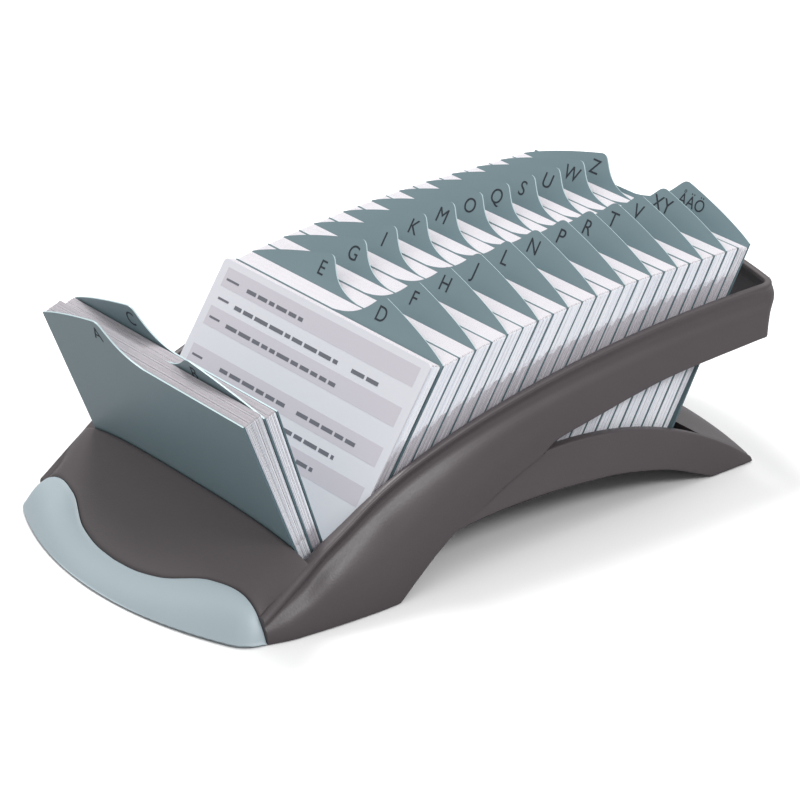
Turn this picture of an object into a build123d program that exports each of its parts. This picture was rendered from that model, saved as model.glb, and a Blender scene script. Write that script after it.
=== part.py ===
from build123d import *
import os
from math import cos, radians, sin, sqrt

os.makedirs("parts", exist_ok=True)

# Desktop address card file. Millimetres, +Z up, +Y from the nose towards the rear wall.
# Lengths along the tray are measured from the nose. Each finished piece is then moved
# forwards by half the overall length, so the origin is on the table in the middle of
# the footprint.

# ---------------------------------------------------------------- driving dimensions
card_width = 104.0
card_height = 66.0
card_corner = 1.5
divider_thickness = 0.5
pack_clearance = 0.12

tab_height = 10.2
low_tab_height = 6.8
tab_shoulder_share = 0.66
tab_peak = 34.8
tab_shoulder = 20.0
tab_foot = 54.0

slot_spacing = 52.0
slot_width = 4.4
slot_height = 9.0
slot_reach = 6.0

ground_gap = 0.4
wall = 2.5
inner_half_width = 54.8
ridge_half_width = 57.5
ridge_land = 1.4
base_thickness = 2.6

nose_radius = 131.0
nose_half_width = 60.6
nose_corner_y = 21.5
foot_end_y = 67.3
apron_edge_y = 37.2
apron_edge_z = 26.6
apron_nose_z = 2.6
pad_thickness = 1.2

ridge_centre_y = 218.0
ridge_height = 60.3
ridge_length = 186.8
ridge_start_y = 43.0
nose_ridge_z = 8.5

bed_apex_y = 134.0
bed_apex_z = 27.1
bed_radius = 142.0
bed_rear_y = 223.5
band_rear_y = 231.5
band_rear_lower_y = 226.0
rear_bulge_radius = 180.0
rear_corner = 9.0
band_rear_lower_z = 33.0
foot_half_width = 62.0
rear_foot_y = 196.8
rear_hollow_half_width = 40.0
trough_end_y = 193.0
floor_line = [(64.0, 2.6), (92.0, 10.4), (118.0, 12.6), (193.0, 12.6)]
floor_thickness = 0.9
tub_half_width = 52.6
ledge_z = 17.6
bed_clear_z = 30.0
lip_gap = 0.15

rail_width = 2.4
rail_front_y = 38.0
rail_rear_y = 190.0
seat_gap = 0.05
foot_pad_radius = 6.0
foot_pad_thickness = 1.0
foot_places = [(-48.0, 30.0), (48.0, 30.0), (-49.0, 206.0), (49.0, 206.0)]

middle_y = 115.63
to_centre = Location((0, -middle_y, 0))

# ---------------------------------------------------------------- sections of cards
# The front three sections lean forwards on the apron's edge; the rest lean back.
front_names = ["a", "b", "c"]
front_tops = [(20.5, 66.5), (27.8, 67.2), (32.3, 68.2)]
front_leans = [-21.5, -19.0, -18.3]
deck_names = list("defghijklmnopqrstuvw") + ["xy", "z", "nordic"]
deck_first_y = 92.8
deck_pitch = 6.26
deck_pitch_fall = 0.0318
deck_top_z = 73.2
deck_drop = 7.6
deck_drop_sections = 15
deck_lean = 32.3
deck_lean_fall = 0.155
address_top = (88.6, 67.0)
address_lean = 32.6
address_thickness = 0.3
front_pivot_z = 11.5
front_swing = 45.0
deck_swing = -47.0


def deck_top(n):
    """Top edge of the n-th divider of the rear deck, as (y, z)."""
    y = deck_first_y + deck_pitch * n - deck_pitch_fall * n * n
    z = deck_top_z - deck_drop * max(0.0, 1 - n / deck_drop_sections) ** 2
    return (y, z)


def foot_of(top, lean):
    """Bottom edge of a card whose top edge and backward lean are given."""
    y = top[0] - card_height * sin(radians(lean))
    z = top[1] - card_height * cos(radians(lean))
    return (y, z)


def card_plane(foot, lean):
    """Plane of a card's front face: x across, y up the card, z towards the reader."""
    up = (0, sin(radians(lean)), cos(radians(lean)))
    return Plane(origin=(0, *foot), x_dir=(1, 0, 0), z_dir=Vector(1, 0, 0).cross(Vector(*up)))


deck_tops = [deck_top(n) for n in range(len(deck_names))]
deck_leans = [deck_lean - deck_lean_fall * n for n in range(len(deck_names))]
names = front_names + deck_names
leans = front_leans + deck_leans
feet = [foot_of(top, lean) for top, lean in zip(front_tops + deck_tops, leans)]
left_tab_names = list("acegikmoqsuwz")

# ---------------------------------------------------------------- dividers
for name, foot, lean in zip(names, feet, leans):
    side = -1 if name in left_tab_names else 1
    outer = side * card_width / 2
    peak = outer - side * tab_peak
    shoulder = outer - side * tab_shoulder
    tab_end = outer - side * tab_foot
    rise_height = low_tab_height if name == "b" else tab_height
    with BuildPart() as divider:
        with BuildSketch(card_plane(foot, lean)):
            with BuildLine():
                top_left = (outer, card_height)
                rise = ThreePointArc(top_left, (shoulder, card_height + tab_shoulder_share * rise_height),
                                     (peak, card_height + rise_height))
                fall = Bezier(rise @ 1, (peak - side * 5, card_height + rise_height - 1.5),
                              (peak - side * 6, card_height + 0.5), (tab_end, card_height))
                Polyline(fall @ 1, (-outer, card_height), (-outer, 0), (outer, 0), top_left)
            make_face()
            with GridLocations(slot_spacing, 1, 2, 1):
                with Locations((0, slot_height / 2)):
                    Rectangle(slot_width, slot_height, mode=Mode.SUBTRACT)
        extrude(amount=-divider_thickness)
    divider.part.label = f"divider_{name}"
    divider.part.locate(to_centre)
    export_step(divider.part, f"parts/divider_{name}.step")

# ---------------------------------------------------------------- packs of cards
def along(foot, lean, up, back):
    """Point (y, z) reached from a card's foot by going up the card and backwards through it."""
    y = foot[0] + up * sin(radians(lean)) + back * cos(radians(lean))
    z = foot[1] + up * cos(radians(lean)) - back * sin(radians(lean))
    return (y, z)


def gap_behind(foot, lean, next_foot, next_lean, up):
    """Distance from one card face to the next section's front face, square to the first."""
    start = along(foot, lean, up, 0)
    turn = radians(next_lean)
    offset_y = next_foot[0] - start[0]
    offset_z = next_foot[1] - start[1]
    return (offset_y * cos(turn) - offset_z * sin(turn)) / cos(radians(lean - next_lean))


def swung_foot(foot, lean, swing, pivot_z):
    """Where a section's bottom edge is after it tips about the line at height pivot_z."""
    reach = (pivot_z - foot[1]) / cos(radians(lean))
    pivot = along(foot, lean, reach, 0)
    return along(pivot, lean + swing, -reach, 0)


def narrowest(foot, lean, next_foot, next_lean, up, swing, pivots):
    """Smallest gap behind a section between its rest position and the end of its swing."""
    at_rest = gap_behind(foot, lean, next_foot, next_lean, up)
    swung = swung_foot(foot, lean, swing, pivots[0])
    next_swung = swung_foot(next_foot, next_lean, swing, pivots[1])
    return min(at_rest, gap_behind(swung, lean + swing, next_swung, next_lean + swing, up))


address_foot = foot_of(address_top, address_lean)
packs = []
for i, name in enumerate(names[:-1]):
    if name == "c":
        packs.append((name, address_foot, address_lean, address_thickness, feet[i + 1], leans[i + 1]))
    else:
        packs.append((name, feet[i], leans[i], divider_thickness, feet[i + 1], leans[i + 1]))

for name, foot, lean, front, next_foot, next_lean in packs:
    if name in front_names[:2]:
        swing = front_swing
        pivots = (front_pivot_z, front_pivot_z)
    else:
        swing = deck_swing
        pivots = (foot[1], next_foot[1])
    low = narrowest(foot, lean, next_foot, next_lean, 0, swing, pivots) - pack_clearance
    high = narrowest(foot, lean, next_foot, next_lean, card_height, swing, pivots) - pack_clearance
    near = front + pack_clearance
    # Cards in the deck all stand on the rails, so each one is a little higher up its own plane.
    step = 0.0
    if name not in front_names[:2]:
        climb = (next_foot[0] - foot[0]) * sin(radians(lean)) + (next_foot[1] - foot[1]) * cos(radians(lean))
        step = climb / gap_behind(foot, lean, next_foot, next_lean, 0)
    with BuildPart() as pack:
        with BuildSketch(Plane.YZ):
            Polygon(along(foot, lean, step * near, near),
                    along(foot, lean, card_height + step * near, near),
                    along(foot, lean, card_height + step * high, high),
                    along(foot, lean, step * low, low), align=None)
        extrude(amount=card_width / 2, both=True)
        with BuildSketch(Plane.YZ.offset(-slot_spacing / 2), Plane.YZ.offset(slot_spacing / 2)):
            Polygon(along(foot, lean, -slot_height, -slot_reach),
                    along(foot, lean, slot_height - step * slot_reach, -slot_reach),
                    along(foot, lean, slot_height + step * 2 * slot_reach, 2 * slot_reach),
                    along(foot, lean, -slot_height, 2 * slot_reach), align=None)
        extrude(amount=slot_width / 2, both=True, mode=Mode.SUBTRACT)
    pack.part.label = f"cards_{name}"
    pack.part.locate(to_centre)
    export_step(pack.part, f"parts/cards_{name}.step")

with BuildPart() as address_card:
    with BuildSketch(card_plane(address_foot, address_lean)):
        with Locations((0, card_height / 2)):
            RectangleRounded(card_width, card_height, card_corner)
        with GridLocations(slot_spacing, 1, 2, 1):
            with Locations((0, slot_height / 2)):
                Rectangle(slot_width, slot_height, mode=Mode.SUBTRACT)
    extrude(amount=-address_thickness)
address_card.part.label = "address_card"
address_card.part.locate(to_centre)
export_step(address_card.part, "parts/address_card.step")

# ---------------------------------------------------------------- tray
def ridge_z(y):
    """Height of the band's top edge: a straight rise from the nose, then a quarter ellipse."""
    if y >= ridge_start_y:
        reach = min(1.0, abs(y - ridge_centre_y) / ridge_length)
        return ridge_height * sqrt(1 - reach * reach)
    start = ridge_height * sqrt(1 - ((ridge_centre_y - ridge_start_y) / ridge_length) ** 2)
    share = max(0.0, y - nose_corner_y) / (ridge_start_y - nose_corner_y)
    return nose_ridge_z + (start - nose_ridge_z) * share


# Stations along the tray: y, half width at the table, and the crease below the band as (x, z).
stations = [
    (-2.0, 60.0, 59.6, 2.4),
    (21.5, 60.6, 59.3, 4.0),
    (40.0, 62.6, 59.6, 9.0),
    (68.0, 64.9, 59.8, 15.5),
    (100.0, 64.6, 58.9, 22.5),
    (134.0, 62.6, 58.2, 27.5),
    (173.0, 60.6, 58.0, 30.0),
    (214.0, 58.8, 57.9, 32.0),
    (236.0, 58.4, 57.9, 33.0),
]


def apron_z(y):
    """Height of the apron along its middle line."""
    return apron_nose_z + (apron_edge_z - apron_nose_z) * y / apron_edge_y


def plan_outline(y_rear, half_width):
    """Plan of the tray: bulged nose with tight corners, parallel sides, bulged rear."""
    nose_side_y = nose_radius - sqrt(nose_radius**2 - nose_half_width**2)
    rear_side_y = y_rear - rear_bulge_radius + sqrt(rear_bulge_radius**2 - half_width**2)
    with BuildSketch(mode=Mode.PRIVATE) as outline:
        with BuildLine():
            ThreePointArc((-nose_half_width, nose_side_y), (0, 0), (nose_half_width, nose_side_y))
            Polyline((nose_half_width, nose_side_y), (70, nose_corner_y + 12), (70, 150),
                     (half_width, 190), (half_width, rear_side_y))
            ThreePointArc((half_width, rear_side_y), (0, y_rear), (-half_width, rear_side_y))
            Polyline((-half_width, rear_side_y), (-half_width, 190), (-70, 150),
                     (-70, nose_corner_y + 12), (-nose_half_width, nose_side_y))
        make_face()
        rear_corners = [v for v in outline.vertices() if abs(v.Y - rear_side_y) < 0.01]
        fillet(rear_corners, rear_corner)
    return outline.sketch


def apron_points(y):
    """Crowned top of the apron at one station: edge, shoulder, middle, shoulder, edge."""
    half_width = ridge_half_width - ridge_land
    crown = apron_z(y)
    edge = min(crown + 1.0, ridge_z(y) - 0.4)
    shoulder_z = edge + 0.62 * (crown - edge)
    shoulder_x = 0.86 * half_width
    return [(-half_width, edge), (-shoulder_x, shoulder_z), (0, crown),
            (shoulder_x, shoulder_z), (half_width, edge)]


def bed_z(y):
    """Height of the arched bed at one place along the tray."""
    return bed_apex_z - bed_radius + sqrt(bed_radius**2 - (y - bed_apex_y) ** 2)


# Solid form of the tray's outside, before any opening is cut.
with BuildPart() as form:
    for y, table_x, crease_x, crease_z in stations:
        top = ridge_z(y)
        crease = min(crease_z, 0.6 * top)
        with BuildSketch(Plane.XZ.offset(-y)):
            Polygon((-table_x, 0), (table_x, 0), (crease_x, crease),
                    (ridge_half_width, top - ridge_land), (ridge_half_width - ridge_land, top),
                    (ridge_land - ridge_half_width, top), (-ridge_half_width, top - ridge_land),
                    (-crease_x, crease), align=None)
    loft(ruled=True)

with BuildPart() as apron:
    for y in (-2.0, 18.0, apron_edge_y + 2):
        points = apron_points(y)
        with BuildSketch(Plane.XZ.offset(-y)):
            with BuildLine():
                Polyline(points[-1], (points[-1][0], 0), (points[0][0], 0), points[0])
                Spline(*points)
            make_face()
    loft()

# Space under the apron, open towards the trough.
hollow_half_width = 46.0
hollow_front = (14.0, 6.0)
hollow_rear = (38.4, 20.8)
with BuildPart() as apron_hollow:
    with BuildSketch(Plane.YZ):
        Polygon((hollow_front[0], base_thickness), hollow_front, hollow_rear,
                (42, hollow_rear[1]), (42, base_thickness), align=None)
    extrude(amount=hollow_half_width, both=True)

with BuildPart() as outline:
    with BuildSketch():
        add(plan_outline(bed_rear_y, foot_half_width))
    extrude(amount=band_rear_lower_z)
    with BuildSketch(Plane.XY.offset(band_rear_lower_z)):
        add(plan_outline(band_rear_lower_y, ridge_half_width + 1.0))
    with BuildSketch(Plane.XY.offset(ridge_height + 1)):
        add(plan_outline(band_rear_y, ridge_half_width + 1.0))
    loft()

# Inside of the bands and the rear wall.
with BuildPart() as inside:
    with BuildSketch():
        add(plan_outline(band_rear_lower_y - wall, inner_half_width))
    extrude(amount=band_rear_lower_z)
    with BuildSketch(Plane.XY.offset(band_rear_lower_z)):
        add(plan_outline(band_rear_lower_y - wall, inner_half_width))
    with BuildSketch(Plane.XY.offset(ridge_height + 1)):
        add(plan_outline(band_rear_y - wall, inner_half_width))
    loft()

# Room for the cards: everything above the trough floor, between the bands. The apron's
# rear lip lies just in front of the first divider.
lip_top = along(feet[0], leans[0], 23.1, -lip_gap)
lip_low = along(feet[0], leans[0], 10.2, -lip_gap)
with BuildPart() as trough:
    with BuildSketch(Plane.YZ):
        Polygon(lip_top, lip_low, (60, ledge_z), (165, ledge_z), (trough_end_y, floor_line[-1][1]),
                (trough_end_y, bed_clear_z), (245, bed_clear_z), (245, 90), (10, 90), align=None)
    extrude(amount=inner_half_width, both=True)
    add(inside.part, mode=Mode.INTERSECT)
    with BuildSketch(Plane.YZ):
        Polygon(lip_top, lip_low, (apron_edge_y - 2.0, base_thickness), *floor_line,
                (trough_end_y, ledge_z + 2), (64, ledge_z + 6), align=None)
    extrude(amount=tub_half_width, both=True)

# Solid body inside the tray's outer surface.
with BuildPart() as body:
    add(form.part)
    add(apron.part)
    add(outline.part, mode=Mode.INTERSECT)

# Soft pad over the nose, flush with the apron and wrapped round the front edge.
with BuildPart() as front_pad:
    with BuildSketch():
        with BuildLine():
            pad_rear = Spline((-62, 21.0), (-50, 21.7), (-36.5, 19.0), (-20, 12.0), (0, 9.4),
                              (20, 12.0), (36.5, 19.0), (50, 21.7), (62, 21.0))
            Polyline(pad_rear @ 1, (62, -5), (-62, -5), pad_rear @ 0)
        make_face()
    extrude(amount=20)
    add(body.part, mode=Mode.INTERSECT)
    with Locations((0, pad_thickness, -pad_thickness)):
        add(body.part, mode=Mode.SUBTRACT)
    with BuildSketch(Plane.XY.offset(-1)):
        Rectangle(200, 600)
    extrude(amount=1 + ground_gap, mode=Mode.SUBTRACT)

# Channel that carries the trough floor between the skirts.
with BuildPart() as channel:
    with BuildSketch(Plane.YZ):
        Polygon((62, ground_gap), (foot_end_y, ground_gap), (92, 10.4 - floor_thickness),
                (118, 12.6 - floor_thickness), (trough_end_y + 2, 12.6 - floor_thickness),
                (trough_end_y + 2, 13), (180, 16), (160, ledge_z), (62, ledge_z), align=None)
    extrude(amount=tub_half_width + floor_thickness, both=True)
    with BuildSketch(Plane.YZ):
        Polygon((64, ledge_z - 1.4), (150, ledge_z - 1.4), (172, 13), (176, 15), (162, ledge_z),
                (64, ledge_z), align=None)
    extrude(amount=inner_half_width + 1.8, both=True)
    add(trough.part, mode=Mode.SUBTRACT)

with BuildPart() as tray:
    add(body.part)
    add(front_pad.part, mode=Mode.SUBTRACT)
    add(trough.part, mode=Mode.SUBTRACT)
    add(apron_hollow.part, mode=Mode.SUBTRACT)
    # Open triangle between the band and the bed, through both sides and the back.
    with BuildSketch(Plane.YZ):
        with BuildLine():
            crease = (bed_apex_y - 6, bed_apex_z + 1.0)
            bed = ThreePointArc(crease, (173, bed_z(173)), (bed_rear_y + 4, bed_z(bed_rear_y + 4)))
            band = ThreePointArc(crease, (169, 37.4), (222, 41.4))
            Polyline(bed @ 1, (250, 0), (250, 41.4), band @ 1)
        make_face()
    extrude(amount=80, both=True, mode=Mode.SUBTRACT)
    # Arch under the skirts, from the front foot to the rear foot.
    with BuildSketch(Plane.YZ):
        with BuildLine():
            knee = (91.0, 14.8)
            front_leg = ThreePointArc((foot_end_y, -0.1), (79.5, 5.2), knee)
            rear_leg = ThreePointArc(knee, (140, 15.4), (rear_foot_y, -0.1))
            Line(rear_leg @ 1, front_leg @ 0)
        make_face()
    extrude(amount=80, both=True, mode=Mode.SUBTRACT)
    # Hollow under the rear slope of the bed.
    with BuildSketch(Plane.YZ):
        with BuildLine():
            roof = ThreePointArc((trough_end_y + 4, bed_z(trough_end_y + 4) - wall),
                                 (205, bed_z(205) - wall), (212, bed_z(212) - wall))
            Polyline(roof @ 1, (212, -1), (trough_end_y + 4, -1), roof @ 0)
        make_face()
    extrude(amount=rear_hollow_half_width, both=True, mode=Mode.SUBTRACT)
    with BuildSketch(Plane.XY.offset(-1)):
        Rectangle(200, 600)
    extrude(amount=1 + ground_gap, mode=Mode.SUBTRACT)
    add(channel.part)
    # Recesses for the rubber feet.
    with BuildSketch(Plane.XY.offset(foot_pad_thickness)):
        with Locations(*foot_places):
            Circle(foot_pad_radius + 0.1)
    extrude(amount=-2, mode=Mode.SUBTRACT)
tray.part.label = "tray_shell"
tray.part.locate(to_centre)
export_step(tray.part, "parts/tray_shell.step")
front_pad.part.label = "front_pad"
front_pad.part.locate(to_centre)
export_step(front_pad.part, "parts/front_pad.step")

# ---------------------------------------------------------------- rails and feet
rail_sides = [x - rail_width / 2 for x in (-slot_spacing / 2, slot_spacing / 2)]
with BuildPart() as card_rails:
    with BuildSketch(*[Plane.YZ.offset(x) for x in rail_sides]):
        with BuildLine():
            floor = [(y, z + seat_gap) for y, z in floor_line]
            crest = ThreePointArc((64, 13.5), (110, 18.3), (rail_rear_y, 18.3))
            Polyline(crest @ 0, (54, 10.8), (rail_front_y, 10.6), (rail_front_y, floor[0][1]),
                     *floor[:-1], (rail_rear_y, floor[-1][1]), crest @ 1)
        make_face()
    extrude(amount=rail_width)
card_rails.part.label = "card_rails"
card_rails.part.locate(to_centre)
export_step(card_rails.part, "parts/card_rails.step")

with BuildPart() as rubber_feet:
    with BuildSketch():
        with Locations(*foot_places):
            Circle(foot_pad_radius)
    extrude(amount=foot_pad_thickness - seat_gap)
rubber_feet.part.label = "rubber_feet"
rubber_feet.part.locate(to_centre)
export_step(rubber_feet.part, "parts/rubber_feet.step")
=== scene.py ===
import math
import random

import bpy
import bmesh
import numpy as np
from mathutils import Matrix, Vector


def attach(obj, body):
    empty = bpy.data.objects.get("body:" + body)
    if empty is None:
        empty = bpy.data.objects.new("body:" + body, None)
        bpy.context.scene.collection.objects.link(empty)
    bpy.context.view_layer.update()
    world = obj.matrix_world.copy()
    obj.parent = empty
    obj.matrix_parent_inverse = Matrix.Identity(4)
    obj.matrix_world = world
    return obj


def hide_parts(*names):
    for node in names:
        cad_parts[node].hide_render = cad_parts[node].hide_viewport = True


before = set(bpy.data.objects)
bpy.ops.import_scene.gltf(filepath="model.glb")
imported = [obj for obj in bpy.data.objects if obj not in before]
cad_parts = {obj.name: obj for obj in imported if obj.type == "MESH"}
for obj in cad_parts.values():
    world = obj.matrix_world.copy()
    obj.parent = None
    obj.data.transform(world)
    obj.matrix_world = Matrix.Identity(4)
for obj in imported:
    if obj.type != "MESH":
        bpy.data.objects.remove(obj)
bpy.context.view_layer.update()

# Everything below is laid out in millimetres from the nose and turned into metres in the
# CAD frame, whose origin is in the middle of the footprint.
MIDDLE_Y = 115.63
CARD_W = 104.0
CARD_H = 66.0
WALL = 2.5


def to_frame(p):
    return (p[0] / 1000.0, (p[1] - MIDDLE_Y) / 1000.0, p[2] / 1000.0)


def ease(t):
    t = min(1.0, max(0.0, t))
    return t * t * (3 - 2 * t)


def curve(*pairs):
    """Smooth monotone curve through (x, y) pairs."""
    xs = np.array([p[0] for p in pairs], float)
    ys = np.array([p[1] for p in pairs], float)
    h = np.diff(xs)
    d = np.diff(ys) / h
    m = np.zeros_like(xs)
    m[0], m[-1] = d[0], d[-1]
    for i in range(1, len(xs) - 1):
        if d[i - 1] * d[i] > 0:
            w1, w2 = 2 * h[i] + h[i - 1], h[i] + 2 * h[i - 1]
            m[i] = (w1 + w2) / (w1 / d[i - 1] + w2 / d[i])

    def value(x):
        x = min(max(x, xs[0]), xs[-1])
        i = int(min(max(np.searchsorted(xs, x) - 1, 0), len(h) - 1))
        t = (x - xs[i]) / h[i]
        return float(ys[i] * (1 + 2 * t) * (1 - t) ** 2 + h[i] * m[i] * t * (1 - t) ** 2
                     + ys[i + 1] * t * t * (3 - 2 * t) + h[i] * m[i + 1] * t * t * (t - 1))
    return value


def arc(start, middle, end):
    """Height along the circle through three (x, y) points, held level beyond its ends."""
    (ax, ay), (bx, by), (cx, cy) = start, middle, end
    d = 2 * (ax * (by - cy) + bx * (cy - ay) + cx * (ay - by))
    a, b, c = ax * ax + ay * ay, bx * bx + by * by, cx * cx + cy * cy
    centre_x = (a * (by - cy) + b * (cy - ay) + c * (ay - by)) / d
    centre_y = (a * (cx - bx) + b * (ax - cx) + c * (bx - ax)) / d
    radius = math.hypot(ax - centre_x, ay - centre_y)

    def value(x):
        x = min(max(x, ax), cx)
        return centre_y + math.sqrt(radius ** 2 - (x - centre_x) ** 2)
    return value


class Shell:
    """Quads gathered from point grids, welded into one mesh."""

    def __init__(self):
        self.points, self.faces, self.slots = [], [], []

    def grid(self, rows, slot=0, closed=False):
        base = len(self.points)
        n, m = len(rows), len(rows[0])
        for row in rows:
            self.points.extend(to_frame(p) for p in row)
        for i in range(n - 1):
            for j in range(m - 1 + (1 if closed else 0)):
                k = (j + 1) % m
                self.faces.append((base + i * m + j, base + i * m + k,
                                   base + (i + 1) * m + k, base + (i + 1) * m + j))
                self.slots.append(slot)

    def polygon(self, points, slot=0):
        base = len(self.points)
        self.points.extend(to_frame(p) for p in points)
        self.faces.append(tuple(range(base, base + len(points))))
        self.slots.append(slot)

    def build(self, name, body, materials, smooth=True, sharp=None, weld=0.004):
        mesh = bpy.data.meshes.new(name)
        mesh.from_pydata(self.points, [], self.faces)
        for m in materials:
            mesh.materials.append(m)
        for poly, s in zip(mesh.polygons, self.slots):
            poly.material_index = s
        bm = bmesh.new()
        bm.from_mesh(mesh)
        bmesh.ops.remove_doubles(bm, verts=bm.verts, dist=weld / 1000.0)
        bmesh.ops.dissolve_degenerate(bm, edges=bm.edges, dist=1e-7)
        bmesh.ops.recalc_face_normals(bm, faces=bm.faces)
        for f in bm.faces:
            f.smooth = smooth
        if sharp is not None:
            for e in bm.edges:
                if len(e.link_faces) == 2 and e.calc_face_angle(0) > math.radians(sharp):
                    e.smooth = False
        bm.to_mesh(mesh)
        bm.free()
        mesh.update()
        obj = bpy.data.objects.new(name, mesh)
        bpy.context.scene.collection.objects.link(obj)
        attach(obj, body)
        return obj


def mirrored(rows):
    return [[(-p[0], p[1], p[2]) for p in row] for row in rows]


# ------------------------------------------------------------------ materials
def linear(rgb):
    """Linear colour with alpha from 8-bit sRGB."""
    shares = [c / 255.0 for c in rgb]
    return tuple(c / 12.92 if c <= 0.0393 else ((c + 0.055) / 1.055) ** 2.4 for c in shares) + (1.0,)


def material(name, rgb, roughness=0.5, spread=0.06, grain=0.0, grain_size=0.35, specular=0.5,
             patch=18.0):
    """Moulded or printed surface: a slow colour drift, a varying roughness and a fine grain."""
    mat = bpy.data.materials.new(name)
    mat.use_nodes = True
    nodes, links = mat.node_tree.nodes, mat.node_tree.links
    shader = nodes["Principled BSDF"]
    place = nodes.new("ShaderNodeTexCoord")
    drift = nodes.new("ShaderNodeTexNoise")
    drift.inputs["Scale"].default_value = 1000.0 / patch
    drift.inputs["Detail"].default_value = 3.0
    links.new(place.outputs["Object"], drift.inputs["Vector"])
    tint = nodes.new("ShaderNodeMix")
    tint.data_type = "RGBA"
    base = linear(rgb)
    tint.inputs[6].default_value = tuple(c * (1 - spread) for c in base[:3]) + (1.0,)
    tint.inputs[7].default_value = tuple(min(1.0, c * (1 + spread)) for c in base[:3]) + (1.0,)
    links.new(drift.outputs["Fac"], tint.inputs[0])
    links.new(tint.outputs[2], shader.inputs["Base Color"])
    fine = nodes.new("ShaderNodeTexNoise")
    fine.inputs["Scale"].default_value = 1000.0 / grain_size
    fine.inputs["Detail"].default_value = 2.0
    links.new(place.outputs["Object"], fine.inputs["Vector"])
    rough = nodes.new("ShaderNodeMapRange")
    rough.inputs["To Min"].default_value = roughness - 0.06
    rough.inputs["To Max"].default_value = roughness + 0.06
    links.new(fine.outputs["Fac"], rough.inputs["Value"])
    links.new(rough.outputs["Result"], shader.inputs["Roughness"])
    shader.inputs["Specular IOR Level"].default_value = specular
    if grain > 0:
        bump = nodes.new("ShaderNodeBump")
        bump.inputs["Strength"].default_value = grain
        bump.inputs["Distance"].default_value = 0.00008
        links.new(fine.outputs["Fac"], bump.inputs["Height"])
        links.new(bump.outputs["Normal"], shader.inputs["Normal"])
    return mat


TRAY = material("tray_plastic", (78, 72, 74), roughness=0.40, spread=0.05, grain=0.5, grain_size=0.5)
PAD = material("pad_plastic", (166, 180, 186), roughness=0.42, spread=0.03, grain=0.15, grain_size=0.6)
SHEET = material("divider_sheet", (116, 137, 143), roughness=0.38, spread=0.02, grain=0.12, grain_size=0.5)
# Divider rims: a darker copy of the sheet colour is painted shade on the side rims, and a lighter copy is a
# painted highlight on the tab and top rims.
SHEET_EDGE_PAINTED_SHADE = material("divider_edge_painted_shade", (88, 112, 120), roughness=0.5, spread=0.04)
SHEET_RIM_PAINTED_HIGHLIGHT = material("divider_rim_painted_light", (176, 196, 200), roughness=0.4, spread=0.03)
PAPER = material("card_paper", (236, 234, 238), roughness=0.75, spread=0.015, grain=0.3, grain_size=0.25,
                 specular=0.2)
# The card rims at the top, bottom and slots use the paper darkened to grey: painted shade that holds down the
# overhead light on the card tops.
PAPER_TOP_PAINTED_SHADE = material("card_top_edge_painted_shade", (168, 164, 168), roughness=0.8, spread=0.06, grain=0.3, grain_size=0.2,
                     specular=0.1, patch=2.5)
# The card side rims use the paper painted lighter and bluer, a painted highlight for the light from the
# right. The cool copy below is a darker variant chosen at random.
PAPER_EDGE_PAINTED_LIGHT = material("card_edge_painted_light", (240, 243, 249), roughness=0.8, spread=0.04, grain=0.3, grain_size=0.2,
                      specular=0.15, patch=1.2)
PAPER_EDGE_2 = material("card_edge_cool", (222, 227, 237), roughness=0.8, spread=0.05, grain=0.3,
                        grain_size=0.2, specular=0.15, patch=1.2)
SHADE_1 = material("card_edge_shade_1", (220, 221, 229), roughness=0.8, spread=0.05, grain=0.3,
                   specular=0.1, patch=1.2)
SHADE_2 = material("card_edge_shade_2", (203, 201, 209), roughness=0.8, spread=0.06, grain=0.3,
                   specular=0.1, patch=1.2)
SHADE_3 = material("card_edge_shade_3", (184, 181, 188), roughness=0.8, spread=0.08, grain=0.3,
                   specular=0.1, patch=1.2)
FORM = material("address_paper", (220, 220, 226), roughness=0.6, spread=0.01, grain=0.15, specular=0.3)
BAND = material("address_band", (205, 200, 208), roughness=0.6, spread=0.01, grain=0.15, specular=0.3)
INK = material("printed_line", (112, 113, 121), roughness=0.6, spread=0.03, specular=0.2)
LETTER = material("tab_letter", (52, 58, 64), roughness=0.6, spread=0.03, specular=0.2)
RUBBER = material("foot_rubber", (38, 37, 38), roughness=0.8, spread=0.08, grain=0.3, grain_size=0.4,
                  specular=0.2)

for node, mat in (("card_rails", TRAY), ("rubber_feet", RUBBER)):
    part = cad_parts[node]
    part.data.materials.clear()
    part.data.materials.append(mat)

# ------------------------------------------------------------------ tray outlines
RIDGE_X = 57.5
INNER_X = RIDGE_X - WALL
APEX_Y = 126.0
FOOT_END = 67.3
TABLE = 0.4
RIDGE_H = 60.3
RIDGE_REAR_Y = 218.0
RIDGE_LENGTH = 186.8
REAR_FOOT_Y = 197.2
REAR_SKIRT_Y = 214.5
CREASE_TOP = 29.2


def ellipse_z(y):
    return RIDGE_H * math.sqrt(max(0.0, 1 - ((RIDGE_REAR_Y - min(y, RIDGE_REAR_Y)) / RIDGE_LENGTH) ** 2))


front_ridge = curve((21.5, 8.0), (40, 21.1), (54, ellipse_z(54.0)), (60, ellipse_z(60.0)))


def ridge(y):
    """Height of the ridge: an ellipse, eased into the nose corner."""
    return ellipse_z(y) if y >= 57.0 else front_ridge(y)


def ridge_top(y):
    """Height of the ridge, level round the rear wall."""
    return ridge(y) if y < 214 else RIDGE_H


def ridge_x(y):
    """Outer edge of the ridge, which spreads a little towards the nose."""
    return RIDGE_X + 2.0 * (1 - ease((y - 38.0) / 40.0))


def crest_x(y):
    return ridge_x(y) - 1.2


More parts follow.
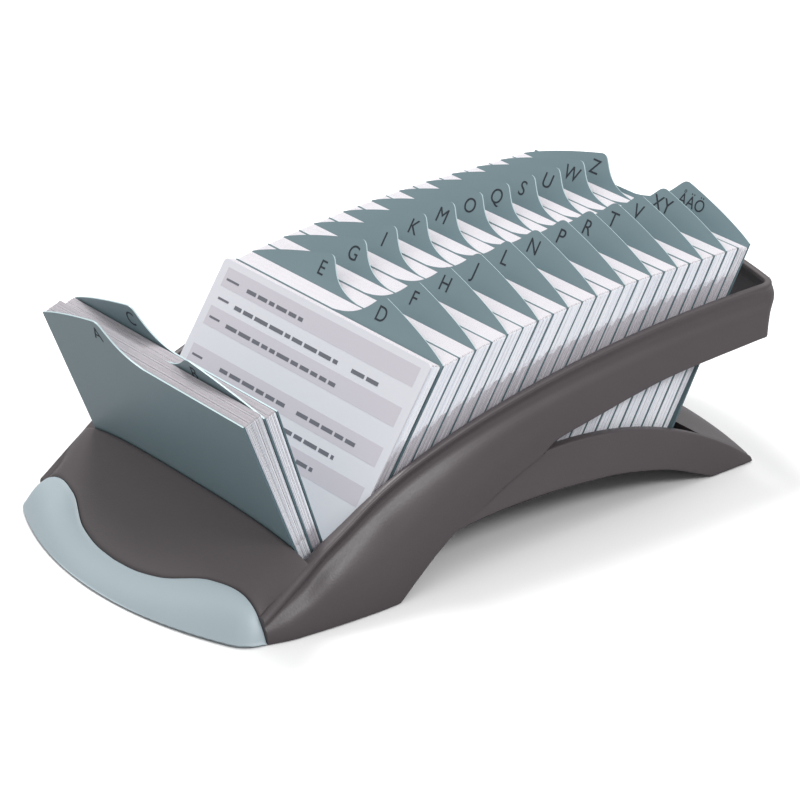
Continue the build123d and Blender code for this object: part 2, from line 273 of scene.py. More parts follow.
low_x = curve((21.5, 61), (30, 63.2), (60, 64.9), (91, 62.2), (118, 60.8), (216, 58.3))
crease_x = curve((21.5, 61), (30, 63.2), (60, 64.9), (91, 62.2), (APEX_Y, 58.9), (216, 58.8))
low_z = curve((FOOT_END, TABLE), (73, 4.8), (85, 13), (91, 16.1), (115, 17), (150, 14.6), (175, 9.5),
              (REAR_FOOT_Y, TABLE))
crease_z = curve((91, 17), (98, 18.9), (110, 23.6), (APEX_Y, CREASE_TOP))
band_low_z = curve((APEX_Y, CREASE_TOP), (131, 32), (145, 35), (180, 40.7), (216, 42.8))
skirt_top_z = arc((APEX_Y, CREASE_TOP), (170, 24.3), (REAR_SKIRT_Y, 1.9))


def lower_edge(y):
    return TABLE if y <= FOOT_END or y >= REAR_FOOT_Y else low_z(y)


def band_end(y):
    """Bottom of the band's rows: crease or lower rim."""
    if y <= 91.0:
        low = lower_edge(y)
        return low + min(0.9, 0.25 * (ridge(y) - low))
    if y <= APEX_Y:
        return crease_z(y)
    return band_low_z(y)


def flare(d, depth, total, side):
    """How far the outer face stands out from the ridge at depth d: a groove, then a swelling."""
    reach = max(2.5, 0.39 * depth)
    start = min(4.0, 0.2 * depth)
    full = 1 - math.exp(-(max(0.3, depth - start) / reach) ** 1.5)
    swell = (1 - math.exp(-(max(0.0, d - start) / reach) ** 1.5)) / full
    strength = min(1.0, depth / 22.0) ** 1.5
    groove = 1.3 * strength * math.exp(-((d - min(4.8, 0.3 * depth)) / min(2.7, 0.17 * depth)) ** 2)
    belly = 0.9 * min(1.0, max(0.0, (depth - 12.0) / 12.0)) * math.exp(-((d / depth - 0.56) / 0.24) ** 2)
    at_side = total * swell - groove + belly * (1 - swell * 0.3)
    back = 1.8 * ease(d / 8.0) - 9.0 * (max(0.0, d - 4.0) / 16.0) ** 1.4
    along = side ** 3
    return at_side * along + back * (1 - along)


# ------------------------------------------------------------------ bands, skirts and rear wall
REAR_BOW = 180.0
REAR_WALL_Y = 231.5
REAR_R = 6.5
REAR_JOIN = 52.83
REAR_Y = 217.51


def plan_path():
    """Half of the ridge's plan: (x, y, normal x, normal y) from the nose corner to the rear's middle."""
    path = []
    ys = list(np.arange(21.5, 66.0, 1.5)) + [FOOT_END] + list(np.arange(68.5, 94.0, 1.25))
    ys += list(np.arange(94.5, APEX_Y - 0.5, 1.5)) + [APEX_Y] + list(np.arange(127.0, 134.0, 1.0))
    ys += list(np.arange(135.0, 213.0, 2.0)) + [REAR_SKIRT_Y]
    path += [(ridge_x(y), float(y), 1.0, 0.0) for y in ys]
    slope = math.atan(REAR_JOIN / REAR_BOW)
    for k in range(0, 15):
        a = (math.pi / 2 - slope) * k / 14
        x = RIDGE_X - REAR_R + REAR_R * math.cos(a)
        path.append((x, REAR_Y + REAR_R * math.sin(a), math.cos(a), math.sin(a)))
    for k in range(1, 19):
        x = REAR_JOIN * (1 - k / 18)
        n = Vector((x / REAR_BOW, 1.0)).normalized()
        path.append((x, REAR_WALL_Y - x * x / (2 * REAR_BOW) - 0.02, n.x, n.y))
    return path


TOP_STEPS = (0.0, 0.35, 0.8, 1.3, 1.8, 2.4, 3.0, 3.7, 4.5, 5.5)
ROLL = 0.55
ROLL_STEPS = (0.55, 0.36, 0.18, 0.05, 0.0)


def depths(total):
    """Depths of the rows below the ridge's outer edge, closer together near both rims."""
    squeeze = min(1.0, total / 13.0)
    steps = [s * squeeze for s in TOP_STEPS]
    last = total - ROLL * squeeze
    for k in range(1, 19):
        steps.append(steps[9] + (last - steps[9]) * k / 18)
    return steps + [total - s * squeeze for s in ROLL_STEPS[1:]]


def roll(height, size):
    """Inset of a rim that is rounded over its last bit of height."""
    if height >= ROLL:
        return 0.0
    return size * (1 - math.sqrt(max(0.0, 1 - (1 - height / ROLL) ** 2)))


def wall_loops(x, y, nx, ny):
    """Point lists of one section through the wall: outer band, strip, inner band."""
    side = nx * nx
    r = ridge_top(y)
    open_ = y > APEX_Y
    end = band_end(y)
    rim = ROLL * ease((y - APEX_Y) / 6.0) if open_ else 0.0
    total = crease_x(y) - x if side > 0.999 else 1.3
    tilt = 1 - ease((y - 36.0) / 8.0)
    drop0 = 0.95 + 0.95 * tilt * min(1.0, (r - end) / 8.0)
    edge = r - drop0
    outer, inner = [], []
    for d in depths(edge - end):
        z = edge - d
        out = flare(d + 0.95, edge + 0.95 - end, total, side)
        if d == 0.0:
            out = 0.0
        elif d < 1.5:
            out *= ease(d / 1.5)
        out_low = out - roll(z - end, rim)
        thick = WALL + 0.4 * ease(d / 10.0)
        in_low = max(out - thick, -WALL) if side > 0.999 and not open_ else min(out, out * 0.4) - thick
        in_low += roll(z - end, rim)
        if side > 0.999:
            in_low = min(in_low, INNER_X - x + max(0.0, out - 1.6)) if open_ else INNER_X - x
        outer.append((x + nx * out_low, y + ny * out_low, z))
        inner.append((x + nx * in_low, y + ny * in_low, z))
    strip = [outer[0]]
    shape = ((-0.06, 0.62, 1.50), (-0.22, 0.34, 1.15), (-0.50, 0.14, 0.72), (-0.82, 0.04, 0.36),
             (-1.2, 0.0, 0.0), (-1.75, 0.06, 0.5), (-2.15, 0.24, 0.9), (-2.4, 0.55, 1.3))
    for off, drop, front_drop in shape:
        z = r - (drop + (front_drop * drop0 / 1.9 - drop) * tilt)
        if side > 0.999 and off < -1.2:
            off = -1.2 + (off + 1.2) * (x - 1.2 - INNER_X) / 1.3
        strip.append((x + nx * off, y + ny * off, z))
    strip.append(inner[0])
    return outer, strip, inner


def skirt_rows(y):
    """Outer and inner points of the skirt below the band, top first."""
    open_ = y > APEX_Y
    top = skirt_top_z(y) if open_ else band_end(y)
    low = lower_edge(y)
    height = max(0.02, top - low)
    shared = crease_x(y)
    step = 1.5 * ease((y - 91.0) / 30.0)
    x_low = low_x(y)
    fractions = [0.0, 0.02, 0.045, 0.08, 0.13, 0.2] + [0.2 + 0.72 * k / 10 for k in range(1, 11)]
    fractions += [0.95, 0.97, 0.985, 0.995, 1.0]
    rim = ROLL * ease((y - APEX_Y) / 6.0)
    outer, inner = [], []
    top_x = shared - step * ease((y - APEX_Y) / 4.0) if open_ else shared
    for f in fractions:
        h = f * height
        z = top - h
        if open_:
            hidden = step * ease((y - APEX_Y) / 4.0)
            x = shared - step + (x_low - shared + step) * f ** 0.9 + (step - hidden) * math.exp(-h / 0.6)
            x_out = x - roll(h, rim)
        else:
            tuck = step * (1 - math.exp(-h / 0.7))
            x = shared - tuck + (x_low - shared + step * (1 - math.exp(-height / 0.7))) * f ** 0.9
            x_out = x
        x_out -= roll(height - h, 0.35) if height > 1.5 else 0.0
        x_in = x - WALL - 0.4
        if not open_ and f == 0.0:
            x_in = None
        outer.append((x_out, y, z))
        inner.append((x_in, y, z))
    return outer, inner


wall = Shell()
path = plan_path()
bands, strips, inners, skirts_out, skirts_in = [], [], [], [], []
for x, y, nx, ny in path:
    o, s, i = wall_loops(x, y, nx, ny)
    bands.append(o)
    strips.append(s)
    inners.append(i)
    if nx > 0.999 and y <= 214.6:
        so, si = skirt_rows(y)
        if y <= APEX_Y:
            so[0] = o[-1]
            si[0] = i[-1]
        skirts_out.append(so)
        skirts_in.append(si)
apex = max(k for k, p in enumerate(path) if p[1] <= APEX_Y and p[2] > 0.999)
for sign in (1, -1):
    def put(rows):
        wall.grid(rows if sign > 0 else mirrored(rows))
    put(bands)
    put(strips)
    put(inners)
    put(skirts_out)
    put(skirts_in)
    put([[o[-1], i[-1]] for o, i in zip(skirts_out, skirts_in)])
    put([[o[-1], i[-1]] for o, i in zip(bands[apex:], inners[apex:])])
    put([[o[0], i[0]] for o, i in zip(skirts_out[apex:], skirts_in[apex:])])
    put([[a, b] for a, b in zip(bands[0] + skirts_out[0][1:], inners[0] + skirts_in[0][1:])])
    put([[a, b] for a, b in zip(skirts_out[-1], skirts_in[-1])])
    cap = strips[0] if sign > 0 else mirrored([strips[0]])[0]
    wall.polygon(cap)
tray_wall = wall.build("tray_wall", "base", [TRAY], sharp=55)
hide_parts("tray_shell")

# ------------------------------------------------------------------ nose surface
NOSE_R = 131.0


def nose_outline(s):
    """Plan of the nose's front edge, from the left corner (s=-1) to the right (s=1)."""
    side = -1 if s < 0 else 1
    a = abs(s)
    if a <= 0.86:
        x = 55.0 * a / 0.86
        return (side * x, NOSE_R - math.sqrt(NOSE_R ** 2 - x * x))
    t = (a - 0.86) / 0.14
    y0 = NOSE_R - math.sqrt(NOSE_R ** 2 - 55.0 ** 2)
    b = [(55.0, y0), (57.8, y0 + 1.35), (60.5, y0 + 4.0), (60.85, 21.4)]
    share = ((1 - t) ** 3, 3 * t * (1 - t) ** 2, 3 * t * t * (1 - t), t ** 3)
    x = sum(p[0] * w for p, w in zip(b, share))
    y = sum(p[1] * w for p, w in zip(b, share))
    return (side * x, y)


OUTLINE = [nose_outline(-1 + k / 200) for k in range(401)]
pad_half = curve((0, 9.4), (8, 9.8), (20, 12), (36.5, 19), (50, 21.8), (61, 21.5))


def pad_edge(x):
    return pad_half(abs(x))


def edge_distance(x, y):
    return min(math.hypot(x - p[0], y - p[1]) for p in OUTLINE)


def apron_height(x, y):
    """Crowned apron: highest along the middle, falling to the ridge at both sides."""
    t = min(1.0, abs(x) / crest_x(y))
    middle = 2.6 + 0.46 * y + 0.006 * y * y
    side = ridge(y)
    e = 0.15
    crown = (math.sqrt(1 - t ** 3 + e) - math.sqrt(e)) / (math.sqrt(1 + e) - math.sqrt(e))
    return side + (middle - side) * crown


def nose_height(x, y):
    """Apron height, rounded off towards the nose's front edge."""
    d = edge_distance(x, y)
    over = max(0.0, abs(x) - crest_x(y))
    a = apron_height(abs(x), y) - 0.9 * over - 0.9 * over * over
    e = 1.1 + 1.7 * d
    k = 1.9
    m = min(a, e)
    return max(TABLE + 0.4, m - k * math.log(math.exp(-(a - m) / k) + math.exp(-(e - m) / k)))


def lip_y(x, z):
    """The apron's rear edge lies just in front of the first divider's face."""
    return 20.5 + (66.5 - z) * math.tan(math.radians(21.5)) - 0.35


pad = Shell()
across = [-1 + 2 * k / 120 for k in range(121)]
top_rows = []
for s in across:
    ox, oy = nose_outline(s)
    by = pad_edge(ox) - 0.22
    row = []
    for j in range(21):
        b = (j / 20) ** 1.35
        x, y = ox, oy + (by - oy) * b
        z = nose_height(x, y)
        near = max(0.0, 1 - (by - y) / 0.6) if by - y < 0.6 else 0.0
        z -= 0.32 * near ** 2
        row.append((x, y, z))
    top_rows.append(row)
pad.grid(top_rows)
front_rows = []
for s, row in zip(across, top_rows):
    x, y, z = row[0]
    ox, oy = nose_outline(s)
    inset = Vector((ox, oy - NOSE_R)).normalized() if abs(ox) < 58 else Vector((ox, 0)).normalized()
    pts = [(x, y, z)]
    for off, height in ((-0.02, 0.92), (0.02, 0.75), (0.1, 0.5), (0.28, 0.2), (0.55, 0.0)):
        pts.append((x - inset.x * off, y - inset.y * off, TABLE + (z - TABLE) * height))
    front_rows.append(pts)
pad.grid(front_rows)
under_rows = []
for row, low in zip(top_rows, front_rows):
    first, last = low[-1], row[-1]
    under_rows.append([last, (last[0], last[1], max(TABLE, last[2] - 1.3)), (last[0], last[1], TABLE), first])
pad.grid(under_rows)
front_pad = pad.build("front_pad_skin", "base", [PAD], sharp=50)
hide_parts("front_pad")

apron = Shell()
rows = []
for k in range(97):
    q = -1 + 2 * k / 96
    t = 0.35 * math.sin(math.pi / 2 * q) + 0.65 * q
    x = t * crest_x(25.0)
    y0 = pad_edge(x) + 0.12
    y1 = lip_y(x, 24.0)
    for _ in range(12):
        y1 = lip_y(x, nose_height(t * crest_x(y1), y1))
    row = []
    for j in range(41):
        y = y0 + (y1 - y0) * (j / 40)
        x = t * crest_x(y)
        z = nose_height(x, y) if abs(t) < 0.9999 else min(nose_height(x, y), ridge(y))
        z -= 0.32 * max(0.0, 1 - (y - y0) / 0.6) ** 2
        z -= 0.25 * max(0.0, 1 - (y1 - y) / 0.7) ** 2
        row.append((x, y, z))
    rows.append(row)
apron.grid(rows)
under = [[(p[0], p[1] + 0.4 * j / 40, max(TABLE, p[2] - (3.0 if j == 0 else 2.4))) for j, p in enumerate(row)]
         for row in rows]
apron.grid(under)
apron.grid([[r[0], u[0]] for r, u in zip(rows, under)])
apron.grid([[r[-1], u[-1]] for r, u in zip(rows, under)])
apron.grid([[a, b] for a, b in zip(rows[0], under[0])])
apron.grid([[a, b] for a, b in zip(rows[-1], under[-1])])
tray_apron = apron.build("tray_apron", "base", [TRAY], sharp=55)
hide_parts("tray_shell")

# ------------------------------------------------------------------ trough floor and rear bed
def rear_edge(x):
    return 223.3 - 9.2 * (x / 57.2) ** 2


floor_z = curve((10, 2.6), (64, 2.6), (92, 10.4), (118, 12.6), (193, 12.6))


def bed_top(x, y):
    bulge = (rear_edge(x) - 214.2) * ease((y - 188.0) / (rear_edge(x) - 188.0))
    return skirt_top_z(min(214.5, y - bulge))


bed = Shell()
half = 57.3
bed_rows = []
for k in range(61):
    x = half * (-1 + 2 * k / 60)
    y1 = rear_edge(x)
    row = []
    for j in range(41):
        y = 193.6 + (y1 - 193.6) * (j / 40)
        z = bed_top(x, y) + 0.05
        side = max(0.0, abs(x) - half + 0.8) / 0.8
        z -= 0.45 * side ** 2
        row.append((x, y, z))
    row.append((x, y1 + 0.25, row[-1][2] - 0.35))
    row.append((x, y1 + 0.3, row[-2][2] - 0.9))
    row.append((x, y1 - 0.1, TABLE))
    bed_rows.append(row)
bed.grid(bed_rows)
bed_under = [[(p[0], p[1], max(TABLE, p[2] - 2.3)) for p in row] for row in bed_rows]
bed.grid(bed_under)
bed.grid([[r[0], u[0]] for r, u in zip(bed_rows, bed_under)])
bed.grid([[a, b] for a, b in zip(bed_rows[0], bed_under[0])])
bed.grid([[a, b] for a, b in zip(bed_rows[-1], bed_under[-1])])
tray_bed = bed.build("tray_bed", "base", [TRAY], sharp=55)
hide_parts("tray_shell")

tub = Shell()
tub_ys = [34.0, 42.0, 50.0, 58.0, 64.0] + [66.0 + 2.0 * k for k in range(64)] + [193.6]


def tub_section(y, inset):
    """Open section of the trough under the cards, from one skirt to the other."""
    f = floor_z(y)
    ledge = min(17.4, skirt_top_z(max(y, 130.0)) - 2.4) if y > 66 else 6.0
    ledge = max(ledge, f + 0.6)
    reach = 56.0
    pts = [(-reach, ledge), (-53.4, ledge), (-52.9, ledge - 0.5), (-52.7, f + 0.5), (-52.2, f)]
    pts += [(52.2 * k / 6, f) for k in range(-5, 6)]
    pts += [(52.2, f), (52.7, f + 0.5), (52.9, ledge - 0.5), (53.4, ledge), (reach, ledge)]
    if inset:
        t = 0.9
        low = TABLE if y < 62 else f - t
        brim = ledge - t
        pts = [(-reach, brim), (-53.8, brim), (-53.6, brim - 0.3), (-53.5, low + 0.3), (-53.1, low)]
        pts += [(53.1 * k / 6, low) for k in range(-5, 6)]
        pts += [(53.1, low), (53.5, low + 0.3), (53.6, brim - 0.3), (53.8, brim), (reach, brim)]
    return [(p[0], y, p[1]) for p in pts]


upper = [tub_section(y, False) for y in tub_ys]
lower = [tub_section(y, True) for y in tub_ys]
tub.grid(upper)
tub.grid(lower)
tub.grid([[a, b] for a, b in zip(upper[0], lower[0])])
tub.grid([[a, b] for a, b in zip(upper[-1], lower[-1])])
tub.grid([[u[0], l[0]] for u, l in zip(upper, lower)])
tub.grid([[u[-1], l[-1]] for u, l in zip(upper, lower)])
tray_tub = tub.build("tray_trough", "base", [TRAY], sharp=50)
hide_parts("tray_shell")

# ------------------------------------------------------------------ sections of cards
FRONT = [("a", (20.5, 66.5), -21.5), ("b", (27.8, 67.2), -19.0), ("c", (32.3, 68.2), -18.3)]
DECK = list("defghijklmnopqrstuvw") + ["xy", "z", "nordic"]
LEFT = set("acegikmoqsuwz")
SIGNS = {"xy": "XY", "nordic": "ÅÄÖ"}


def foot_of(top, lean):
    a = math.radians(lean)
    return (top[0] - CARD_H * math.sin(a), top[1] - CARD_H * math.cos(a))


places = {}
for name, top, lean in FRONT:
    places[name] = (foot_of(top, lean), lean)
for n, name in enumerate(DECK):
    top = (92.8 + 6.26 * n - 0.0318 * n * n, 73.2 - 7.6 * max(0.0, 1 - n / 15) ** 2)
    lean = 32.3 - 0.155 * n
    places[name] = (foot_of(top, lean), lean)
address_place = (foot_of((88.6, 67.0), 32.6), 32.6)
ORDER = ["a", "b", "c"] + DECK


def on_card(place, u, v, back):
    """Point at u across, v up the card and back behind its front face."""
    (fy, fz), lean = place
    a = math.radians(lean)
    return (u, fy + v * math.sin(a) + back * math.cos(a), fz + v * math.cos(a) - back * math.sin(a))


def slotted(width, height, corner=0.0):
    """Outline of a card with its two bottom slots, counter-clockwise from the bottom left."""
    w = width / 2
    pts = [(-w, 0.0)]
    for c in (-26.0, 26.0):
        pts += [(c - 2.2, 0.0), (c - 2.2, 8.2), (c - 1.4, 9.0)]
        pts += [(c + 1.4, 9.0), (c + 2.2, 8.2), (c + 2.2, 0.0)]
    pts += [(w, 0.0)]
    if corner > 0:
        for k in range(5):
            a = math.pi / 2 * k / 4
            pts.append((w - corner + corner * math.cos(a), height - corner + corner * math.sin(a)))
        for k in range(5):
            a = math.pi / 2 * k / 4
            pts.append((-w + corner - corner * math.sin(a), height - corner + corner * math.cos(a)))
    else:
        pts += [(w, height), (-w, height)]
    return pts


def bezier(p0, p1, p2, p3, n):
    out = []
    for k in range(1, n + 1):
        t = k / n
        w = ((1 - t) ** 3, 3 * t * (1 - t) ** 2, 3 * t * t * (1 - t), t ** 3)
        out.append((sum(a * b for a, b in zip(w, (p0[0], p1[0], p2[0], p3[0]))),
                    sum(a * b for a, b in zip(w, (p0[1], p1[1], p2[1], p3[1])))))
    return out


DIVIDER_T = 0.5
ADDRESS_T = 0.3
TAB = 10.2
LOW_TAB = 6.8


def divider_outline(side, tall):
    """Slotted sheet with a tab that swells from the outer corner and drops in an S."""
    pts = slotted(CARD_W, CARD_H)[:-2]
    w, h = CARD_W / 2, CARD_H
    rise = bezier((w, 0), (w - 8, 3.6), (w - 22, 7.6), (w - 33.6, TAB), 22)
    crest = bezier((w - 33.6, TAB), (w - 35.0, TAB + 0.15), (w - 35.9, TAB - 0.3), (w - 36.8, TAB - 1.3), 8)
    fall = bezier((w - 36.8, TAB - 1.3), (w - 39.8, TAB - 4.6), (w - 42.5, 1.2), (w - 54.0, 0), 16)
    tab = [(x, h + v * tall / TAB) for x, v in rise + crest + fall]
    if side > 0:
        pts += [(w, h)] + tab + [(-w, h)]
    else:
        pts += [(w, h)] + [(-p[0], p[1]) for p in reversed(tab)] + [(-w, h)]
    return pts


def sheet(shell, place, outline, near, far, face=0, edge=1, shift=0.0, lift=0.0):
    """Flat sheet between two distances behind the plane, with its own rim material."""
    front = [on_card(place, u + shift, v + lift, near) for u, v in outline]
    back = [on_card(place, u + shift, v + lift, far) for u, v in outline]
    shell.polygon(front, face)
    shell.polygon(list(reversed(back)), face)
    n = len(outline)
    for k in range(n):
        j = (k + 1) % n
        slot = edge(outline[k], outline[j], front[k], front[j]) if callable(edge) else edge
        shell.polygon([front[j], front[k], back[k], back[j]], slot)


def divider_rim_painted_light(p, q, front_p, front_q):
    """Tab and top rims get the painted highlight; the side rims get the painted shade."""
    return 2 if min(p[1], q[1]) >= CARD_H - 0.01 else 1


def body_of(name, kind):
    if name == "a" and kind == "divider":
        return "divider_a_sheet"
    if name == "z" and kind == "divider":
        return "divider_z_sheet"
    return "section_" + name


def letter(name, place, side):
    """Index letter printed near the top of the tab."""
    data = bpy.data.curves.new("letter_" + name, "FONT")
    data.body = SIGNS.get(name, name.upper())
    data.size = {"b": 0.0062, "nordic": 0.0056}.get(name, 0.0069)
    data.align_x = "CENTER"
    data.align_y = "BOTTOM_BASELINE"
    data.extrude = 0.00002
    obj = bpy.data.objects.new("letter_text_" + name, data)
    bpy.context.scene.collection.objects.link(obj)
    bpy.context.view_layer.update()
    mesh = bpy.data.meshes.new_from_object(obj.evaluated_get(bpy.context.evaluated_depsgraph_get()))
    bpy.data.objects.remove(obj)
    a = math.radians(place[1])
    u = side * (CARD_W / 2 - (33.0 if name != "nordic" else 29.5))
    origin = Vector(to_frame(on_card(place, u, CARD_H + {"b": 0.7, "nordic": 2.6}.get(name, 2.9), -0.03)))
    across = Vector((1, 0, 0))
    up = Vector((0, math.sin(a), math.cos(a)))
    out = across.cross(up)
    turn = Matrix((across, up, out)).transposed().to_4x4()
    mesh.transform(Matrix.Translation(origin) @ turn)
    mesh.materials.clear()
    mesh.materials.append(LETTER)
    piece = bpy.data.objects.new("letter_" + name, mesh)
    bpy.context.scene.collection.objects.link(piece)
    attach(piece, body_of(name, "divider"))


for name in ORDER:
    place = places[name]
    side = -1 if name in LEFT else 1
    shell = Shell()
    sheet(shell, place, divider_outline(side, LOW_TAB if name == "b" else TAB), 0.0, DIVIDER_T,
          edge=divider_rim_painted_light)
    obj = shell.build("divider_sheet_" + name, body_of(name, "divider"), [SHEET, SHEET_EDGE_PAINTED_SHADE, SHEET_RIM_PAINTED_HIGHLIGHT],
                      smooth=False)
    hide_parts("divider_" + name)
    letter(name, place, side)


def gap(place, nxt, v):
    """Distance behind a card face to the next section's face at height v."""
    _, y, z = on_card(place, 0, v, 0)
    (fy, fz), lean = nxt
    a = math.radians(lean)
    return ((fy - y) * math.cos(a) - (fz - z) * math.sin(a)) / math.cos(math.radians(place[1] - lean))


def swung(place, swing, pivot_z):
    (fy, fz), lean = place
    reach = (pivot_z - fz) / math.cos(math.radians(lean))
    _, y, z = on_card(place, 0, reach, 0)
    a = math.radians(lean + swing)
    return ((y - reach * math.sin(a), z - reach * math.cos(a)), lean + swing)


FRONT_SWING = 45.0
FRONT_PIVOT_Z = 11.5
DECK_SWING = -47.0
PACK_GAP = 0.14
SHEET_PITCH = 0.31
LAST_PACK_CUT = 2.2
rng = random.Random(11)
# Heights above the ridge between which the card edges get darker; they lie in the tray's shade.
SHADE_AT = (5.2, 4.1, 3.0, -7.0)


def above_ridge(here, v):
    _, y, z = on_card(here, 0, v, 0)
    return z - ridge_top(y)


def card_outline(here, jitter):
    """Slotted card whose sides are also divided where the tray starts to shade them."""
    cuts = []
    for level in (t + jitter for t in SHADE_AT):
        lo, hi = 12.0, CARD_H - 2.0
        if above_ridge(here, lo) < level < above_ridge(here, hi):
            for _ in range(24):
                mid = (lo + hi) / 2
                lo, hi = (mid, hi) if above_ridge(here, mid) < level else (lo, mid)
            cuts.append(lo)
    shape = slotted(CARD_W, CARD_H, 0.6)
    w = CARD_W / 2
    split = next(k for k, p in enumerate(shape) if p == (w, 0.0)) + 1
    rising = sorted(cuts)
    return shape[:split] + [(w, v) for v in rising] + shape[split:] + [(-w, v) for v in reversed(rising)]


for k, name in enumerate(ORDER[:-1]):
    place, front = (address_place, ADDRESS_T) if name == "c" else (places[name], DIVIDER_T)
    nxt = places[ORDER[k + 1]]
    if name in ("a", "b"):
        swings = (swung(place, FRONT_SWING, FRONT_PIVOT_Z), swung(nxt, FRONT_SWING, FRONT_PIVOT_Z))
    else:
        swings = (swung(place, DECK_SWING, place[0][1]), swung(nxt, DECK_SWING, nxt[0][1]))
    near = front + PACK_GAP
    low = min(gap(place, nxt, 0), gap(*swings, 0)) - PACK_GAP
    high = min(gap(place, nxt, CARD_H), gap(*swings, CARD_H)) - PACK_GAP
    (fy, fz), lean = place
    climb = 0.0
    if name not in ("a", "b"):
        a = math.radians(lean)
        climb = ((nxt[0][0] - fy) * math.sin(a) + (nxt[0][1] - fz) * math.cos(a)) / gap(place, nxt, 0)
    if name == "z":
        low -= LAST_PACK_CUT
    count = max(6, int((high + low) / 2 / SHEET_PITCH))
    breaks = {count // 3, (2 * count) // 3} if count > 10 else {count // 2}
    fan = math.degrees(math.atan((high - low) / CARD_H))
    shell = Shell()
    weights = [1.0 + (0.6 if c in breaks else 0.0) for c in range(count)]
    span = sum(weights)
    pos = 0.0
    for c in range(count):
        share0 = (pos + (0.6 if c in breaks else 0.0)) / span
        pos += weights[c]
        share1 = pos / span - 0.02 / span
        b0 = near + (low - near) * share0
        b1 = near + (low - near) * share1
        lean_c = lean + fan * (share0 + share1) / 2
        here = ((fy + b0 * math.cos(math.radians(lean)), fz - b0 * math.sin(math.radians(lean))), lean_c)
        jitter = 0.45 * math.sin(0.8 * c + 1.7 * k) + rng.uniform(-0.2, 0.2)
        tint = 1 + rng.choice((0, 0, 0, 1))

        def rim(p, q, front_p, front_q):
            # Top, bottom and slot rims get the painted shade grey. Side rims get the painted-light paper or
            # its cool variant, and the painted shade steps near the ridge.
            if min(abs(p[0]), abs(q[0])) < CARD_W / 2 - 0.7 or max(p[1], q[1]) > CARD_H - 0.3:
                return 6
            y, z = (front_p[1] + front_q[1]) / 2, (front_p[2] + front_q[2]) / 2
            level = z - ridge_top(y) - jitter
            if level > SHADE_AT[0] or level < SHADE_AT[3]:
                return tint
            return 3 + sum(level < t for t in SHADE_AT[1:3])

        sheet(shell, here, card_outline(here, jitter), 0.0, max(0.08, b1 - b0), edge=rim,
              shift=rng.uniform(-0.12, 0.12) - (0.2 if c in breaks else 0.0),
              lift=climb * b0 - rng.uniform(0.0, 0.2))
    body = "pack_c" if name == "c" else "section_" + name
    papers = [PAPER, PAPER_EDGE_PAINTED_LIGHT, PAPER_EDGE_2, SHADE_1, SHADE_2, SHADE_3, PAPER_TOP_PAINTED_SHADE]
    obj = shell.build("card_sheets_" + name, body, papers, smooth=False, weld=0.0001)
    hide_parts("cards_" + name)

# ------------------------------------------------------------------ address card
card = Shell()
sheet(card, address_place, slotted(CARD_W, CARD_H, 1.5), 0.0, ADDRESS_T, face=0, edge=0)
form = card.build("address_sheet_card", "address_sheet", [FORM], smooth=False)
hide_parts("address_card")


def printed(shell, u0, u1, v0, v1, lift):
    """Closed film of ink lying on the address card's face."""
    ring = ((u0, v0), (u1, v0), (u1, v1), (u0, v1))
    face = [on_card(address_place, u, v, -lift) for u, v in ring]
    base = [on_card(address_place, u, v, -lift + 0.02) for u, v in ring]
    shell.polygon(face)
    shell.polygon([base[3], base[2], base[1], base[0]])
    for k in range(4):
        j = (k + 1) % 4
        shell.polygon([face[j], face[k], base[k], base[j]])


bands = Shell()
for v in (57.5, 44.5, 31.5, 18.5):
    printed(bands, -48.5, 48.5, v, v + 6.3, 0.03)
obj = bands.build("address_bands", "address_sheet", [BAND], smooth=False)
lines = Shell()
for v, u0, u1 in ((59.2, -36.0, -8.0), (52.8, -38.0, 14.0), (52.8, 22.0, 34.0), (46.4, -38.0, 18.0),
                  (33.6, -32.0, 2.0), (33.6, 8.0, 36.0), (27.2, -34.0, 30.0), (20.8, -34.0, 24.0),
                  (14.4, -34.0, 16.0)):
    u = u0
    while u < u1:
        w = rng.uniform(2.6, 7.0)
        printed(lines, u, min(u + w, u1 + 1.0), v, v + 1.25, 0.06)
        u += w + 1.1
for v in (59.8, 53.4, 47.0, 34.2, 27.8, 21.4):
    printed(lines, -47.0, -42.0 + rng.uniform(0, 2.0), v, v + 0.7, 0.06)
obj = lines.build("address_lines", "address_sheet", [INK], smooth=False)

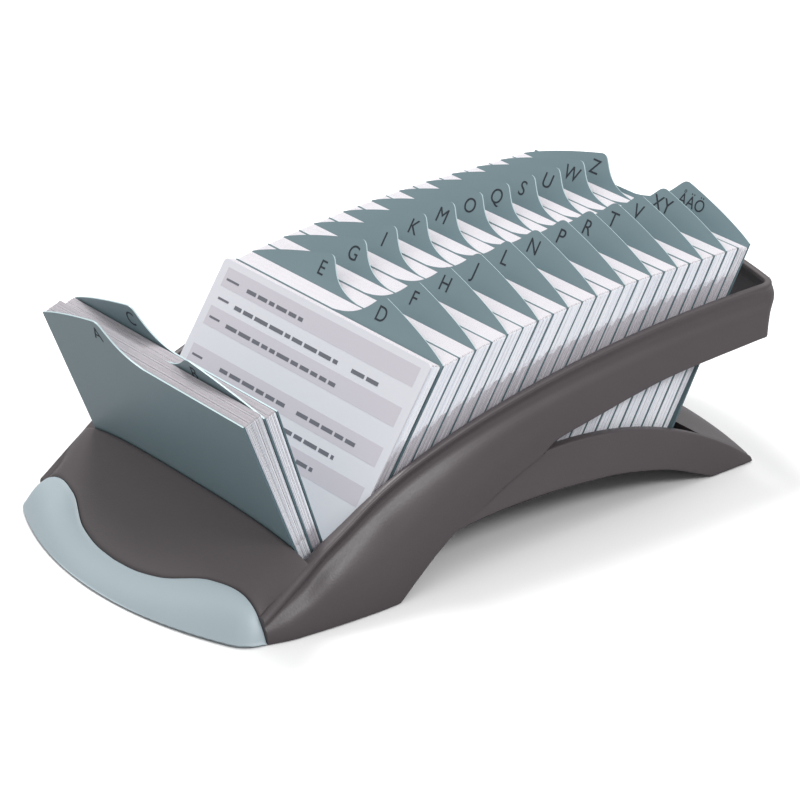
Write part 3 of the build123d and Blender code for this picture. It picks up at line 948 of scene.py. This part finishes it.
# ------------------------------------------------------------------ floor, light and camera
floor_mesh = bpy.data.meshes.new("floor")
floor_mesh.from_pydata([(-6, -6, 0), (6, -6, 0), (6, 6, 0), (-6, 6, 0)], [], [(0, 1, 2, 3)])
floor_obj = bpy.data.objects.new("floor", floor_mesh)
bpy.context.scene.collection.objects.link(floor_obj)
white = bpy.data.materials.new("floor_white")
white.use_nodes = True
ray = white.node_tree.nodes.new("ShaderNodeLightPath")
tone = white.node_tree.nodes.new("ShaderNodeMix")
tone.data_type = "RGBA"
tone.inputs[6].default_value = (0.42, 0.42, 0.43, 1)
tone.inputs[7].default_value = (0.93, 0.93, 0.93, 1)
white.node_tree.links.new(ray.outputs["Is Camera Ray"], tone.inputs[0])
white.node_tree.links.new(tone.outputs[2], white.node_tree.nodes["Principled BSDF"].inputs["Base Color"])
white.node_tree.nodes["Principled BSDF"].inputs["Roughness"].default_value = 0.9
white.node_tree.nodes["Principled BSDF"].inputs["Specular IOR Level"].default_value = 0.1
floor_mesh.materials.append(white)

world = bpy.data.worlds.new("studio")
bpy.context.scene.world = world
world.use_nodes = True
sky = world.node_tree.nodes
place = sky.new("ShaderNodeTexCoord")
split = sky.new("ShaderNodeSeparateXYZ")
ramp = sky.new("ShaderNodeMapRange")
ramp.inputs["From Min"].default_value = 0.0
ramp.inputs["From Max"].default_value = 0.9
ramp.inputs["To Min"].default_value = 0.30
ramp.inputs["To Max"].default_value = 1.05
world.node_tree.links.new(place.outputs["Generated"], split.inputs[0])
world.node_tree.links.new(split.outputs["Z"], ramp.inputs["Value"])
world.node_tree.links.new(ramp.outputs["Result"], sky["Background"].inputs["Strength"])
sky["Background"].inputs["Color"].default_value = (1.0, 1.0, 1.0, 1)


def lamp(name, place, target, size, power):
    data = bpy.data.lights.new(name, "AREA")
    data.shape = "DISK"
    data.size = size
    data.energy = power
    obj = bpy.data.objects.new(name, data)
    obj.location = place
    obj.rotation_euler = (Vector(target) - Vector(place)).to_track_quat("-Z", "Y").to_euler()
    bpy.context.scene.collection.objects.link(obj)


lamp("key", (-0.55, 0.1, 1.15), (0, 0, 0.03), 0.45, 10.0)
lamp("side", (1.1, 0.1, 0.95), (0, 0, 0.03), 0.4, 7.5)

camera = bpy.data.cameras.new("camera")
camera.sensor_width = 36.0
camera.lens = 161.77
camera.clip_start = 0.05
camera.clip_end = 20.0
cam = bpy.data.objects.new("camera", camera)
bpy.context.scene.collection.objects.link(cam)
right = Vector((0.6157, 0.788, 0.0)).normalized()
back = Vector((0.7143, -0.5581, 0.4222)).normalized()
up = back.cross(right).normalized()
right = up.cross(back).normalized()
turn = Matrix((right, up, back)).transposed().to_4x4()
cam.matrix_world = Matrix.Translation(Vector(to_frame((801.79, -509.05, 502.31)))) @ turn
bpy.context.scene.camera = cam
bpy.context.scene.view_settings.view_transform = "Standard"
